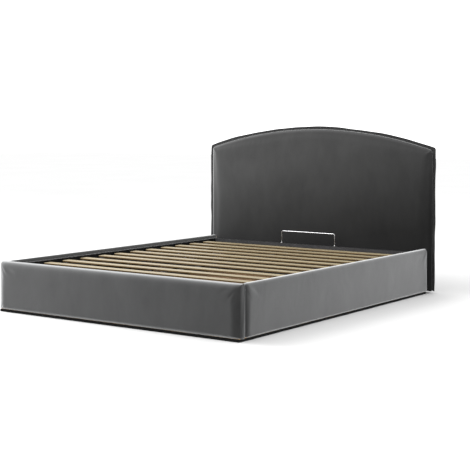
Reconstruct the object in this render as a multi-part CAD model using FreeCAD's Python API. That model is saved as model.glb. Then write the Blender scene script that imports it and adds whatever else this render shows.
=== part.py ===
"""Upholstered storage bed with an arched headboard and a lift-up slatted frame.

Row frame: origin on the floor under the middle of the bed, +Z up, +Y towards the headboard,
+X to the right for someone who stands at the foot and looks at the headboard.
Lengths along the bed are measured from the foot board's outer face; along() turns one into Y.
"""
import FreeCAD, Part
import math
import os

Vec = FreeCAD.Vector

# ---------------------------------------------------------------- driving dimensions (mm)
mattress_width = 1600
mattress_length = 2000
side_clearance = 13.5           # beside the mattress, each side
end_clearance = 16              # beyond the mattress, lengthways
foot_depth = 50                 # foot board over its padding
side_depth = 38                 # side rail over its padding
base_bottom = 14                # the plinth strips lift the fabric this far off the floor
base_top = 289

pad_depth = 27                  # headboard front pad
flange_depth = 4                # standing seam between pad and border
panel_depth = 18
post_depth = 36
lining_depth = 2
arch_peak = 1068
arch_radius = 2954
head_half_width = 890
flange_width = 22               # the seam stands out this far around the front pad
head_corner = 18                # radius of the headboard's two top corners
border_inset = 32               # side padding, measured in from the seam's edge
core_inset = 42                 # wooden panel, measured in from the seam's edge

rail_pad = 12                   # foam on a rail's outer face and top
rail_board = 22
foot_lining = 10
ledge_width = 25
ledge_height = 18
floor_thick = 4
bracket_leg = 60
bracket_low = 105
plate_thick = 3

tube_width = 25
tube_height = 40
tube_wall = 1.5
tube_outer = 766                # outer face of the side tubes, from the centre line
tube_low = 202
beam_half = 20
foot_tube_along = 86
head_tube_along = 1987
head_tube_low = 229
cross_tube_along = 1020
slat_count = 12
slat_pitch = 155.6
slat_first = 184                # first slat's centre
slat_width = 57
slat_thick = 9
slat_half_length = 790
slat_top = 254
slat_shift = {4: 10}            # the fifth slat sits this much nearer the head
pad_reach = 46                  # the end pads hold this much of a slat
pad_margin = 3                  # the pads are narrower than their slat, each side

stop_half_width = 209
stop_top = 356
stop_rod = 6
stop_bend = 12
stop_along = 1991
stop_foot = (5.5, 9)            # radius and height of the feet that hold the wire

lift_pivot = (1746, 162)        # along, up
strut_low = (1188, 76)          # fixed eye of the gas strut: along, up
strut_high = (1654, 208)        # moving eye with the frame down
strut_x = 788
pin_radius = 6
strut_pin_radius = 5
eye_radius = 11
cylinder_radius = 10
cylinder_length = 335
rod_radius = 4
arm_thick = 4
fit_gap = 0.05                  # radial clearance of a running fit

# ---------------------------------------------------------------- worked-out sizes
inner_half = mattress_width / 2 + side_clearance
box_half = inner_half + side_depth
pad_front = foot_depth + mattress_length + end_clearance
flange_front = pad_front + pad_depth
body_front = flange_front + flange_depth
panel_back = body_front + panel_depth
post_back = panel_back + post_depth
overall_length = post_back + lining_depth
rail_lining = side_depth - rail_pad - rail_board
floor_low = base_bottom + ledge_height
tube_top = tube_low + tube_height
tube_inner = tube_outer - tube_width
seat = slat_top - slat_thick    # underside of the slats
foot_tube = (foot_tube_along, foot_tube_along + tube_width, tube_low, tube_top)
head_tube = (head_tube_along, head_tube_along + tube_width, head_tube_low, head_tube_low + tube_height)
side_tube = (foot_tube[1], head_tube[0], tube_low, tube_top)
cross_tube = (cross_tube_along, cross_tube_along + tube_width, tube_low - 10, tube_low + 15)
plate_inner = inner_half - plate_thick
post_span = (700, 770)          # inner and outer side of a headboard post
post_top = 880
batten_height = 70
batten_lows = {"low": 60, "mid": 490}
rest_span = (560, 620)          # inner and outer side of a frame rest
plinth_inset = 10               # the plinth strips stand back from the velvet
plinth_width = 20

nodes = {}


def along(distance):
    """Y of a distance from the foot board's outer face."""
    return distance - overall_length / 2


def box(x0, x1, y0, y1, z0, z1):
    """A block between two corners; y0 and y1 are distances from the foot."""
    return Part.makeBox(x1 - x0, y1 - y0, z1 - z0, Vec(x0, along(y0), z0))


def rod_x(x0, x1, y, z, radius):
    """A round bar along X."""
    return Part.makeCylinder(radius, x1 - x0, Vec(x0, along(y), z), Vec(1, 0, 0))


def mirrored(shape):
    """The same piece on the other side of the bed."""
    return shape.mirror(Vec(0, 0, 0), Vec(1, 0, 0))


def add(node, *shapes):
    """Keep one node: one solid, or a group of separate solids."""
    solids = [s for shape in shapes for s in shape.Solids]
    nodes[node] = solids[0] if len(solids) == 1 else Part.makeCompound(solids)


def add_pair(name, right_shape):
    """Keep a right-hand piece and its mirror image."""
    add(name + "_right", right_shape)
    add(name + "_left", mirrored(right_shape))


def edges_where(shape, test):
    """The edges whose middle point passes a test."""
    picked = []
    for edge in shape.Edges:
        middle = edge.valueAt((edge.FirstParameter + edge.LastParameter) / 2)
        if test(middle):
            picked.append(edge)
    return picked


def plate(points, x0, x1):
    """A flat plate: an outline of (along, up) points, thick along X."""
    corners = [Vec(x0, along(y), z) for y, z in points]
    face = Part.Face(Part.makePolygon(corners + corners[:1]))
    return face.extrude(Vec(x1 - x0, 0, 0))


def hollow_bar(x0, x1, y0, y1, z0, z1, axis):
    """A rectangular tube, open at both ends, along axis "x" or "y"."""
    wall = tube_wall
    reach = 1
    if axis == "x":
        inside = box(x0 - reach, x1 + reach, y0 + wall, y1 - wall, z0 + wall, z1 - wall)
    else:
        inside = box(x0 + wall, x1 - wall, y0 - reach, y1 + reach, z0 + wall, z1 - wall)
    return box(x0, x1, y0, y1, z0, z1).cut(inside)


# ---------------------------------------------------------------- headboard
def arch_face(inset, at):
    """The headboard's outline moved in by inset: straight sides and one shallow arc on top."""
    half = head_half_width - inset
    radius = arch_radius - inset
    centre_up = arch_peak - arch_radius
    shoulder = centre_up + math.sqrt(radius ** 2 - half ** 2)
    low = base_bottom + max(0, inset - flange_width) * 0.5
    y = along(at)
    bottom_left = Vec(-half, y, low)
    bottom_right = Vec(half, y, low)
    top_right = Vec(half, y, shoulder)
    top_left = Vec(-half, y, shoulder)
    peak = Vec(0, y, centre_up + radius)
    sides = [Part.LineSegment(bottom_left, bottom_right).toShape(),
             Part.LineSegment(bottom_right, top_right).toShape(),
             Part.Arc(top_right, peak, top_left).toShape(),
             Part.LineSegment(top_left, bottom_left).toShape()]
    return Part.Face(Part.Wire(sides))


def arch_slab(inset, start, end, corner=0):
    """An arched slab between two distances, its two top corners rounded."""
    slab = arch_face(inset, start).extrude(Vec(0, end - start, 0))
    if corner:
        half = head_half_width - inset
        tops = edges_where(slab, lambda p: abs(abs(p.x) - half) < 0.1 and p.z > 600
                           and abs(p.y - along((start + end) / 2)) < 0.1)
        slab = slab.makeFillet(corner, tops)
    return slab


def headboard():
    front = arch_slab(flange_width, pad_front, flange_front, head_corner)
    front_edges = edges_where(front, lambda p: abs(p.y - along(pad_front)) < 0.1 and p.z > base_bottom + 1)
    front = front.makeFillet(14, front_edges)
    plug = arch_slab(core_inset, flange_front, body_front)
    pad = front.fuse(plug)
    opening = arch_slab(core_inset, flange_front - 1, post_back + 1)
    flange = arch_slab(0, flange_front, body_front, head_corner).cut(opening)
    border = arch_slab(border_inset, body_front, post_back, head_corner).cut(opening)
    panel = arch_slab(core_inset, body_front, panel_back)
    lining = arch_slab(border_inset, post_back, overall_length, head_corner)
    post_low = base_bottom + 10
    post = box(*post_span, panel_back, post_back, post_low, post_top)
    return pad, flange, border, panel, lining, post


# ---------------------------------------------------------------- base box
def foot_cover():
    body = box(-box_half, box_half, 0, foot_depth, base_bottom, base_top)
    body = body.makeFillet(16, edges_where(body, lambda p: p.z > base_bottom + 1))
    return body


def side_cover():
    body = box(inner_half, box_half, foot_depth, pad_front, base_bottom, base_top)
    long_top = edges_where(body, lambda p: p.z > base_top - 1 and abs(p.y) < 100)
    body = body.makeFillet(14, long_top)
    return body


def bolt(x, y, z, direction):
    """A pan-head screw whose head lies on a plate at this point and whose shank goes along direction."""
    start = Vec(x, along(y), z)
    head = Part.makeCylinder(6.5, 3.5, start, direction * -1)
    shank = Part.makeCylinder(3, 18, start, direction)
    return head.fuse(shank)


def corner_bracket(y_face, towards):
    """A steel angle in a right-hand corner; towards is +1 where the end board lies on the head side."""
    high = bracket_low + bracket_leg
    far = y_face - towards * bracket_leg
    near = y_face - towards * plate_thick
    on_side = box(plate_inner, inner_half, min(y_face, far), max(y_face, far), bracket_low, high)
    on_end = box(inner_half - bracket_leg, inner_half, min(y_face, near), max(y_face, near),
                 bracket_low, high)
    return on_side.fuse(on_end).removeSplitter()


def bracket_screws(y_face, towards):
    """Two screws into the side rail and two into the end board, for one right-hand corner."""
    screws = []
    from_corner = 40
    for z in (bracket_low + 15, bracket_low + 45):
        screws.append(bolt(plate_inner, y_face - towards * from_corner, z, Vec(1, 0, 0)))
        screws.append(bolt(inner_half - from_corner, y_face - towards * plate_thick, z, Vec(0, towards, 0)))
    return screws


def hinge_plate():
    """The fixed side plate: it carries the pivot at its head end and the strut's foot at the other."""
    low_y, low_z = strut_low
    top_y, top_z = lift_pivot
    outline = [(low_y - 40, low_z - 25), (low_y + 45, low_z - 25),
               (top_y - 30, top_z - 42), (top_y + 70, top_z - 42),
               (top_y + 70, top_z + 30), (top_y - 60, top_z + 30),
               (low_y + 45, low_z + 25), (low_y - 40, low_z + 25)]
    body = plate(outline, plate_inner, inner_half)
    strut_pin = rod_x(strut_x - 6, plate_inner, low_y, low_z, strut_pin_radius)
    collar = rod_x(strut_x + 6.5, plate_inner, low_y, low_z, strut_pin_radius + 4)
    body = body.fuse([strut_pin, collar]).removeSplitter()
    return body.cut(rod_x(plate_inner - 1, inner_half + 1, top_y, top_z, pin_radius))


def hinge_screws():
    """Screws that hold the fixed side plate to its rail, spread along it."""
    low_y, low_z = strut_low
    top_y, top_z = lift_pivot
    places = [(low_y - 25, low_z), (top_y - 45, top_z - 8),
              (top_y + 55, top_z - 27), (top_y + 55, top_z + 14)]
    for share in (0.3, 0.6):
        places.append((low_y + share * (top_y - low_y), low_z + share * (top_z - low_z)))
    return [bolt(plate_inner, y, z, Vec(1, 0, 0)) for y, z in places]


def hinge_pin():
    """The pivot: a pin from the fixed plate through the frame's arm, with a spacing collar between them."""
    y, z = lift_pivot
    pin = rod_x(tube_outer + 0.5, inner_half, y, z, pin_radius)
    collar = rod_x(tube_outer + arm_thick + 1, plate_inner, y, z, pin_radius + 3)
    return pin.fuse(collar).removeSplitter()


def hinge_arm():
    """The frame's side of the hinge: a plate hung from the side tube, with the strut's high pin."""
    y, z = lift_pivot
    shoulder = z + 32
    outline = [(y - 122, tube_top), (y - 122, shoulder), (y - 30, z - 20), (y + 28, z - 20),
               (y + 78, shoulder), (y + 78, tube_top)]
    body = plate(outline, tube_outer, tube_outer + arm_thick)
    body = body.cut(rod_x(tube_outer - 1, tube_outer + arm_thick + 1, y, z, pin_radius + fit_gap))
    strut_pin = rod_x(tube_outer + arm_thick, strut_x - 7, *strut_high, pin_radius)
    return body.fuse(strut_pin).removeSplitter()


def strut_pieces():
    """The gas strut's cylinder with its eye, and the rod with its eye, on the line between the two pins."""
    base = Vec(strut_x, along(strut_low[0]), strut_low[1])
    tip = Vec(strut_x, along(strut_high[0]), strut_high[1])
    reach = (tip - base).Length
    line = (tip - base).normalize()
    eye_half = 6
    neck_length = 22
    bore_start = 60
    rod_start = 70
    barrel = Part.makeCylinder(cylinder_radius, cylinder_length, base + line * neck_length, line)
    neck = Part.makeCylinder(6, neck_length, base, line)
    low_eye = rod_x(strut_x - eye_half, strut_x + eye_half, *strut_low, eye_radius)
    cylinder = barrel.fuse([neck, low_eye]).removeSplitter()
    cylinder = cylinder.cut(rod_x(strut_x - 7, strut_x + 7, *strut_low, strut_pin_radius + fit_gap))
    bore = Part.makeCylinder(rod_radius + fit_gap, cylinder_length, base + line * bore_start, line)
    cylinder = cylinder.cut(bore)
    rod = Part.makeCylinder(rod_radius, reach - rod_start, base + line * rod_start, line)
    high_eye = rod_x(strut_x - eye_half, strut_x + eye_half, *strut_high, eye_radius)
    return cylinder, rod.fuse(high_eye).removeSplitter()


# ---------------------------------------------------------------- lift frame
def slat_centre(index):
    return slat_first + index * slat_pitch + slat_shift.get(index, 0)


def slat(index):
    centre = slat_centre(index)
    half = slat_width / 2
    body = box(-slat_half_length, slat_half_length, centre - half, centre + half, seat, slat_top)
    long_edges = edges_where(body, lambda p: abs(p.x) < 1)
    return body.makeFillet(2, long_edges)


def slat_pad(index, x0, x1):
    """A thin plastic pad that seats a slat on a tube."""
    centre = slat_centre(index)
    half = slat_width / 2 - pad_margin
    return box(x0, x1, centre - half, centre + half, tube_top, seat)


def end_pad(index):
    """The pad under a slat's right-hand end."""
    return slat_pad(index, slat_half_length - pad_reach, slat_half_length - pad_margin)


def centre_pad(index):
    """The pad under a slat's middle, on the centre beam."""
    return slat_pad(index, pad_margin - beam_half, beam_half - pad_margin)


def mattress_stop():
    """A round wire bent to a low, wide arch: two legs and a top bar."""
    radius = stop_rod / 2
    bend = stop_bend
    x = stop_half_width
    y = along(stop_along)
    low = head_tube[3]
    top = stop_top - radius
    turn = bend * (1 - math.sqrt(0.5))
    path = [Part.LineSegment(Vec(-x, y, low), Vec(-x, y, top - bend)).toShape(),
            Part.Arc(Vec(-x, y, top - bend), Vec(-x + turn, y, top - turn), Vec(-x + bend, y, top)).toShape(),
            Part.LineSegment(Vec(-x + bend, y, top), Vec(x - bend, y, top)).toShape(),
            Part.Arc(Vec(x - bend, y, top), Vec(x - turn, y, top - turn), Vec(x, y, top - bend)).toShape(),
            Part.LineSegment(Vec(x, y, top - bend), Vec(x, y, low)).toShape()]
    section = Part.Wire(Part.makeCircle(radius, Vec(-x, y, low), Vec(0, 0, 1)))
    return Part.Wire(path).makePipeShell([section], True, False)


def stop_fixing(x, wire):
    """A round foot that holds one leg of the stop on top of the head tube."""
    radius, height = stop_foot
    foot = Part.makeCylinder(radius, height, Vec(x, along(stop_along), head_tube[3]))
    return foot.cut(wire)


def pull_strap():
    """A webbing loop on the foot tube: a tongue on top of the tube and a hanging hand loop in front of it."""
    half = 15
    web = 3
    front = foot_tube[0] - 27
    back = foot_tube[0] - 1
    low = tube_top - 70
    tongue = box(-half, half, back - 10, foot_tube[1] - 2, tube_top, tube_top + web)
    loop = box(-half, half, front, back, low, tube_top + web)
    loop = loop.makeFillet(11, edges_where(loop, lambda p: abs(p.x) < 1))
    hole = box(-half - 1, half + 1, front + web, back - web, low + web, tube_top)
    hole = hole.makeFillet(8, edges_where(hole, lambda p: abs(p.x) < 1))
    return loop.cut(hole).fuse(tongue).removeSplitter()


def end_plugs(tube):
    """The plastic plug in a cross bar's right-hand end."""
    y0, y1, z0, z1 = tube
    wall = tube_wall
    face = box(tube_outer, tube_outer + 2, y0, y1, z0, z1)
    stem = box(tube_outer - 12, tube_outer, y0 + wall, y1 - wall, z0 + wall, z1 - wall)
    return face.fuse(stem).removeSplitter()


def plinth_strips():
    """Black strips under the boards and the headboard; they carry the bed just clear of the floor."""
    outer = box_half - plinth_inset
    side_inner = outer - plinth_width
    foot_back = plinth_inset + plinth_width
    head_middle = (panel_back + post_back) / 2
    border_low = base_bottom + (border_inset - flange_width) / 2
    foot = box(-outer, outer, plinth_inset, foot_back, 0, base_bottom)
    side = box(side_inner, outer, foot_back, pad_front, 0, base_bottom)
    head = box(-post_span[1], post_span[1], head_middle - plinth_width / 2, head_middle + plinth_width / 2,
               0, border_low)
    return foot, side, mirrored(side), head


# ---------------------------------------------------------------- assembly
def add_headboard(screws):
    pad, flange, border, panel, lining, post = headboard()
    add("headboard_pad", pad.cut(screws))
    add("headboard_flange", flange)
    add("headboard_border", border)
    add("headboard_panel", panel.cut(screws))
    add("headboard_lining", lining)
    add_pair("headboard_post", post)
    for name, low in batten_lows.items():
        add("headboard_batten_" + name,
            box(-post_span[0], post_span[0], panel_back, post_back, low, low + batten_height))


def add_base(screws):
    core_back = foot_depth - foot_lining
    foot_core = box(-box_half + rail_pad, box_half - rail_pad, core_back - rail_board, core_back,
                    base_bottom, base_top - rail_pad)
    side_core = box(inner_half + rail_lining, inner_half + rail_lining + rail_board, foot_depth, pad_front,
                    base_bottom, base_top - rail_pad)
    add("foot_board", foot_core.cut(screws))
    add("foot_board_cover", foot_cover().cut(foot_core).cut(screws))
    add_pair("side_board", side_core.cut(screws))
    add_pair("side_cover", side_cover().cut(side_core).cut(screws))

    brackets = [corner_bracket(foot_depth, -1).cut(screws), corner_bracket(pad_front, 1).cut(screws)]
    add("corner_brackets", *brackets, *[mirrored(b) for b in brackets])
    add("plate_screws", screws)

    inner_back = pad_front - ledge_width
    cross_half = inner_half - ledge_width
    add_pair("floor_ledge", box(cross_half, inner_half, foot_depth, pad_front, base_bottom, floor_low))
    for name, start in (("foot", foot_depth), ("head", inner_back)):
        ledge = box(-cross_half, cross_half, start, start + ledge_width, base_bottom, floor_low)
        add("floor_ledge_" + name, ledge)
    add("floor_runner", box(-30, 30, foot_depth + ledge_width, inner_back, base_bottom, floor_low))
    add_pair("floor_panel", box(0.5, inner_half, foot_depth, pad_front, floor_low, floor_low + floor_thick))

    add("base_plinth", *plinth_strips())
    rest = box(*rest_span, foot_depth, foot_depth + 50, tube_low - 25, tube_low - 0.3)
    add("frame_rests", rest, mirrored(rest))
    add_pair("hinge_plate", hinge_plate().cut(screws))
    add("hinge_pins", hinge_pin(), mirrored(hinge_pin()))


def add_lift_frame():
    add_pair("frame_tube", hollow_bar(tube_inner, tube_outer, *side_tube, "y"))
    add("frame_tube_head", hollow_bar(-tube_outer, tube_outer, *head_tube, "x"))
    add("frame_tube_foot", hollow_bar(-tube_outer, tube_outer, *foot_tube, "x"))
    add("frame_tube_cross", hollow_bar(-tube_inner, tube_inner, *cross_tube, "x"))
    add("frame_centre_beam", hollow_bar(-beam_half, beam_half, *side_tube[:2], cross_tube[3], tube_top, "y"))
    plugs = [end_plugs(head_tube), end_plugs(foot_tube)]
    add("tube_end_plugs", *plugs, *[mirrored(p) for p in plugs])

    for index in range(slat_count):
        add(f"slat_{index + 1:02d}", slat(index))
    pads = [end_pad(index) for index in range(slat_count)]
    add("slat_end_pads", *pads, *[mirrored(p) for p in pads])
    add("slat_centre_pads", *[centre_pad(index) for index in range(slat_count)])

    wire = mattress_stop()
    add("mattress_stop", wire)
    add("stop_fixings", *[stop_fixing(x, wire) for x in (-stop_half_width, stop_half_width)])
    add_pair("hinge_arm", hinge_arm())
    add("pull_strap", pull_strap())


def build():
    right = bracket_screws(foot_depth, -1) + bracket_screws(pad_front, 1) + hinge_screws()
    screws = Part.makeCompound(right + [mirrored(s) for s in right])
    add_headboard(screws)
    add_base(screws)
    add_lift_frame()
    cylinder, rod = strut_pieces()
    add_pair("strut_cylinder", cylinder)
    add_pair("strut_rod", rod)


build()
os.makedirs("parts", exist_ok=True)
for node, shape in nodes.items():
    if not shape.isValid():
        print("not valid:", node)
    shape.exportStep(os.path.join("parts", node + ".step"))
print(len(nodes), "nodes, overall length", overall_length)
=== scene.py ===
# %% [markdown]
# # An upholstered storage bed with an arched headboard
# The wooden and steel parts of this bed come ready made, as the fixed frame. What is left for
# Blender is what an upholsterer adds: foam, velvet, seams, stitches, linings and staples, and
# then the finish of every surface. The first step loads the frame.

# %% Load the fixed frame
import math

import bmesh
import bpy
import numpy as np
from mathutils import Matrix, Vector


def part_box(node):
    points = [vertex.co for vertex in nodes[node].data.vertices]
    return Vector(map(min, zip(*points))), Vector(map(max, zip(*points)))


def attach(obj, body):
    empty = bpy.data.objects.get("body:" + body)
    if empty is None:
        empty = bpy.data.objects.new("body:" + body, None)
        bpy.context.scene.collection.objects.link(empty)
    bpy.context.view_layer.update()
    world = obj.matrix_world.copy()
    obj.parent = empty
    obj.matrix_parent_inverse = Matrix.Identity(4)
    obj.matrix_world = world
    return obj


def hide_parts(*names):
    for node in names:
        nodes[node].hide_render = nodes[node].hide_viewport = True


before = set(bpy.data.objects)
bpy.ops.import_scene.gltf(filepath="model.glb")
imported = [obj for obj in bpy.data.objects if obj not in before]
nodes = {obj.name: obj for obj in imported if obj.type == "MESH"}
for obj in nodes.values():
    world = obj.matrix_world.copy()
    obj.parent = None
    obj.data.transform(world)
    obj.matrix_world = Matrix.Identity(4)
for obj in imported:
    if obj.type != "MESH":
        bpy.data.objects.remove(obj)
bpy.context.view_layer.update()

# %% [markdown]
# ## Camera
# This product view is taken from a little over a metre up with a long lens, so that edges that
# are upright stay nearly upright. A long lens far away also keeps the near corner from looming.
# The camera looks down by two to three degrees. The small shifts slide its frame to the left and
# down without turning it any further, as a view camera does.

# %% Camera
eye = bpy.data.cameras.new("eye")
eye.lens = 88.55
eye.shift_x = -0.04
eye.shift_y = -0.12
camera = bpy.data.objects.new("camera", eye)
camera.location = (4.1066, -5.6689, 1.0602)
camera.rotation_euler = (1.5262, -0.00246, 0.6048)
bpy.context.collection.objects.link(camera)
bpy.context.scene.camera = camera
print("camera stands", round(camera.location.length, 2), "m from the middle of the bed")

# %% [markdown]
# ## Tools for making surfaces
# Every soft piece here is a grid of points: two numbers run over the grid, and a formula turns
# each pair into a place in space. numpy works out all the places at once. A closed piece, such
# as a pad, is several grids whose borders meet; the double points there are merged, and then
# Blender can work out which way is outside.

# %% Grids, faces and pieces
MM = 0.001


def grid_faces(rows, columns, close_rows=False, close_columns=False):
    """Corner numbers of every cell in a grid: (i, j), (i+1, j), (i+1, j+1), (i, j+1), wrapping if closed."""
    i, j = np.meshgrid(np.arange(rows if close_rows else rows - 1),
                       np.arange(columns if close_columns else columns - 1), indexing="ij")
    i_next, j_next = (i + 1) % rows, (j + 1) % columns
    cells = [i * columns + j, i_next * columns + j, i_next * columns + j_next, i * columns + j_next]
    return np.stack(cells, -1).reshape(-1, 4)


def join_grids(grids):
    """Stacks several point grids into one list of points and one list of faces."""
    points, faces, count = [], [], 0
    for grid, *closed in grids:
        rows, columns = grid.shape[:2]
        points.append(grid.reshape(-1, 3))
        faces.append(grid_faces(rows, columns, *closed) + count)
        count += rows * columns
    return np.concatenate(points), np.concatenate(faces)


def make_piece(name, points, faces, body, slot, weld=True):
    """Puts points and faces into a smooth mesh that rides on a body. The slot is not used."""
    mesh = bpy.data.meshes.new(name)
    mesh.from_pydata(points.tolist(), [], faces.tolist())
    if weld:
        build = bmesh.new()
        build.from_mesh(mesh)
        bmesh.ops.remove_doubles(build, verts=build.verts, dist=0.02 * MM)
        bmesh.ops.dissolve_degenerate(build, edges=build.edges, dist=0.02 * MM)
        bmesh.ops.recalc_face_normals(build, faces=build.faces)
        build.to_mesh(mesh)
        build.free()
    mesh.polygons.foreach_set("use_smooth", np.ones(len(mesh.polygons), bool))
    piece = bpy.data.objects.new(name, mesh)
    bpy.context.collection.objects.link(piece)
    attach(piece, body)
    print(name, "has", len(mesh.vertices), "points")
    return piece


def places_of(mesh):
    """All points of a mesh as rows of x, y, z."""
    places = np.zeros(len(mesh.vertices) * 3)
    mesh.vertices.foreach_get("co", places)
    return places.reshape(-1, 3)


def smoother(piece, levels=1):
    """Rounds the facets between grid points."""
    finer = piece.modifiers.new("smoother", "SUBSURF")
    finer.levels = finer.render_levels = levels
    return piece


# %% [markdown]
# ## Swelling foam with a cloth simulation
# Foam pushes velvet outwards, and the velvet holds it back where it is sewn or stapled. Blender's
# cloth can do the same: the closed piece is treated as an air-tight bag, blown up a little, and
# the points that are sewn or stapled are pinned. The bag would go on swelling, so each point's
# move is capped: a move m becomes cap * tanh(m / cap), which is m while it is small and never
# more than the cap.

# %% Swell a piece
def swell(piece, pinned, cap, pressure=4.0, frames=20):
    """Blows a closed piece up for some frames, with the pinned points held, and keeps the capped result."""
    scene = bpy.context.scene
    before = places_of(piece.data)
    held = piece.vertex_groups.new(name="held")
    held.add(np.flatnonzero(pinned(before)).tolist(), 1.0, "REPLACE")
    cloth = piece.modifiers.new("bag", "CLOTH")
    cloth.settings.quality = 6
    cloth.settings.use_pressure = True
    cloth.settings.uniform_pressure_force = pressure
    cloth.settings.effector_weights.gravity = 0
    cloth.settings.vertex_group_mass = "held"
    cloth.point_cache.frame_start = 1
    cloth.point_cache.frame_end = frames
    for step in range(1, frames + 1):
        scene.frame_set(step)
    swollen = piece.evaluated_get(bpy.context.evaluated_depsgraph_get())
    after = places_of(swollen.data)
    piece.modifiers.remove(cloth)
    piece.vertex_groups.clear()
    scene.frame_set(1)
    move = after - before
    far = np.linalg.norm(move, axis=1, keepdims=True)
    move *= cap * np.tanh(far / cap) / np.maximum(far, 1e-9)
    piece.data.vertices.foreach_set("co", (before + move).ravel())
    piece.data.update()
    print(piece.name, "swelled by", round(float(np.linalg.norm(move, axis=1).max()) / MM, 1), "mm")
    return piece


# %% [markdown]
# ## Procedural finishes
# A finish is a small network of nodes. A noise pattern read from the piece's own Object
# coordinates makes the colour, the roughness or the relief vary, and everything that is the same
# all over is set directly on the Principled shader. These helpers keep each finish short.

# %% Helpers for finishes
class Finish:
    """A material under construction: a Principled shader, and patterns that feed it."""

    def __init__(self, name, **sockets):
        self.material = bpy.data.materials.new(name)
        self.material.use_nodes = True
        self.tree = self.material.node_tree
        self.shader = self.tree.nodes["Principled BSDF"]
        for socket, value in sockets.items():
            self.shader.inputs[socket.replace("_", " ")].default_value = value
        self.place = self.tree.nodes.new("ShaderNodeTexCoord").outputs["Object"]

    def link(self, output, socket):
        self.tree.links.new(output, socket)
        return self

    def stretched(self, stretch):
        """Object coordinates multiplied along each axis; a small factor lengthens the pattern."""
        mapping = self.tree.nodes.new("ShaderNodeMapping")
        mapping.inputs["Scale"].default_value = stretch
        self.link(self.place, mapping.inputs["Vector"])
        return mapping.outputs["Vector"]

    def noise(self, scale, stretch=(1, 1, 1), detail=3.0, roughness=0.5, distortion=0.0):
        """Cloudy pattern with values around a half."""
        node = self.tree.nodes.new("ShaderNodeTexNoise")
        for socket, value in (("Scale", scale), ("Detail", detail), ("Roughness", roughness),
                              ("Distortion", distortion)):
            node.inputs[socket].default_value = value
        self.link(self.stretched(stretch), node.inputs["Vector"])
        return node.outputs["Fac"]

    def dots(self, scale, stretch=(1, 1, 1)):
        """Distance to the nearest of many scattered points."""
        node = self.tree.nodes.new("ShaderNodeTexVoronoi")
        node.inputs["Scale"].default_value = scale
        self.link(self.stretched(stretch), node.inputs["Vector"])
        return node.outputs["Distance"]

    def waves(self, scale, stretch=(1, 1, 1), direction="X", distortion=0.0):
        """Parallel bands."""
        node = self.tree.nodes.new("ShaderNodeTexWave")
        node.bands_direction = direction
        node.inputs["Scale"].default_value = scale
        node.inputs["Distortion"].default_value = distortion
        self.link(self.stretched(stretch), node.inputs["Vector"])
        return node.outputs["Fac"]

    def sum(self, *parts):
        """Weighted sum of patterns, given as (pattern, weight)."""
        total = None
        for pattern, weight in parts:
            node = self.tree.nodes.new("ShaderNodeMath")
            node.operation = "MULTIPLY_ADD"
            self.link(pattern, node.inputs[0])
            node.inputs[1].default_value = weight
            node.inputs[2].default_value = 0.0
            if total is not None:
                self.link(total, node.inputs[2])
            total = node.outputs[0]
        return total

    def ramp(self, pattern, *stops):
        """Colours along a pattern's values; each stop is (value, (r, g, b))."""
        node = self.tree.nodes.new("ShaderNodeValToRGB")
        marks = node.color_ramp.elements
        while len(marks) < len(stops):
            marks.new(0.5)
        for mark, (value, colour) in zip(marks, stops):
            mark.position = value
            mark.color = (*colour, 1.0)
        self.link(pattern, node.inputs["Fac"])
        return node.outputs["Color"]

    def colour(self, pattern, *stops):
        return self.link(self.ramp(pattern, *stops), self.shader.inputs["Base Color"])

    def blend_by_height(self, top, depth, below, above):
        """Base colour that changes from below to above over the last bit of height under top, at rest."""
        split = self.tree.nodes.new("ShaderNodeSeparateXYZ")
        self.link(self.place, split.inputs["Vector"])
        rise = self.tree.nodes.new("ShaderNodeMapRange")
        rise.inputs["From Min"].default_value = top - depth
        rise.inputs["From Max"].default_value = top - 0.3 * depth
        self.link(split.outputs["Z"], rise.inputs["Value"])
        mix = self.tree.nodes.new("ShaderNodeMix")
        mix.data_type = "RGBA"
        self.link(rise.outputs["Result"], mix.inputs["Factor"])
        self.link(below, mix.inputs[6]).link(above, mix.inputs[7])
        return self.link(mix.outputs[2], self.shader.inputs["Base Color"])

    def painted_shade_ramp(self, direction, start, end, low, high):
        """Painted shade: scales colour and sheen by a factor that runs from low to high while the place,
        measured along the direction, runs from start to end."""
        along = self.tree.nodes.new("ShaderNodeVectorMath")
        along.operation = "DOT_PRODUCT"
        along.inputs[1].default_value = direction
        self.link(self.place, along.inputs[0])
        share = self.tree.nodes.new("ShaderNodeMapRange")
        for socket, value in (("From Min", start), ("From Max", end), ("To Min", low), ("To Max", high)):
            share.inputs[socket].default_value = value
        self.link(along.outputs["Value"], share.inputs["Value"])
        scale = self.tree.nodes.new("ShaderNodeVectorMath")
        scale.operation = "SCALE"
        self.link(self.shader.inputs["Base Color"].links[0].from_socket, scale.inputs[0])
        self.link(share.outputs["Result"], scale.inputs["Scale"])
        self.link(scale.outputs["Vector"], self.shader.inputs["Base Color"])
        return self.link(share.outputs["Result"], self.shader.inputs["Sheen Weight"])

    def gloss(self, pattern, low, high):
        """Roughness from low to high over a pattern's usual range."""
        node = self.tree.nodes.new("ShaderNodeMapRange")
        for socket, value in (("From Min", 0.3), ("From Max", 0.7), ("To Min", low), ("To Max", high)):
            node.inputs[socket].default_value = value
        self.link(pattern, node.inputs["Value"])
        return self.link(node.outputs["Result"], self.shader.inputs["Roughness"])

    def relief(self, pattern, height):
        """Bump of a pattern, as deep as height in metres."""
        node = self.tree.nodes.new("ShaderNodeBump")
        node.inputs["Distance"].default_value = height
        node.inputs["Strength"].default_value = 1.0
        self.link(pattern, node.inputs["Height"])
        return self.link(node.outputs["Normal"], self.shader.inputs["Normal"])


def dress(finish, *pieces):
    """Gives pieces, or CAD nodes by name, this finish on all their faces."""
    for piece in pieces:
        target = nodes[piece] if isinstance(piece, str) else piece
        if target.data.materials:
            for index in range(len(target.data.materials)):
                target.data.materials[index] = finish.material
        else:
            target.data.materials.append(finish.material)
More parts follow.
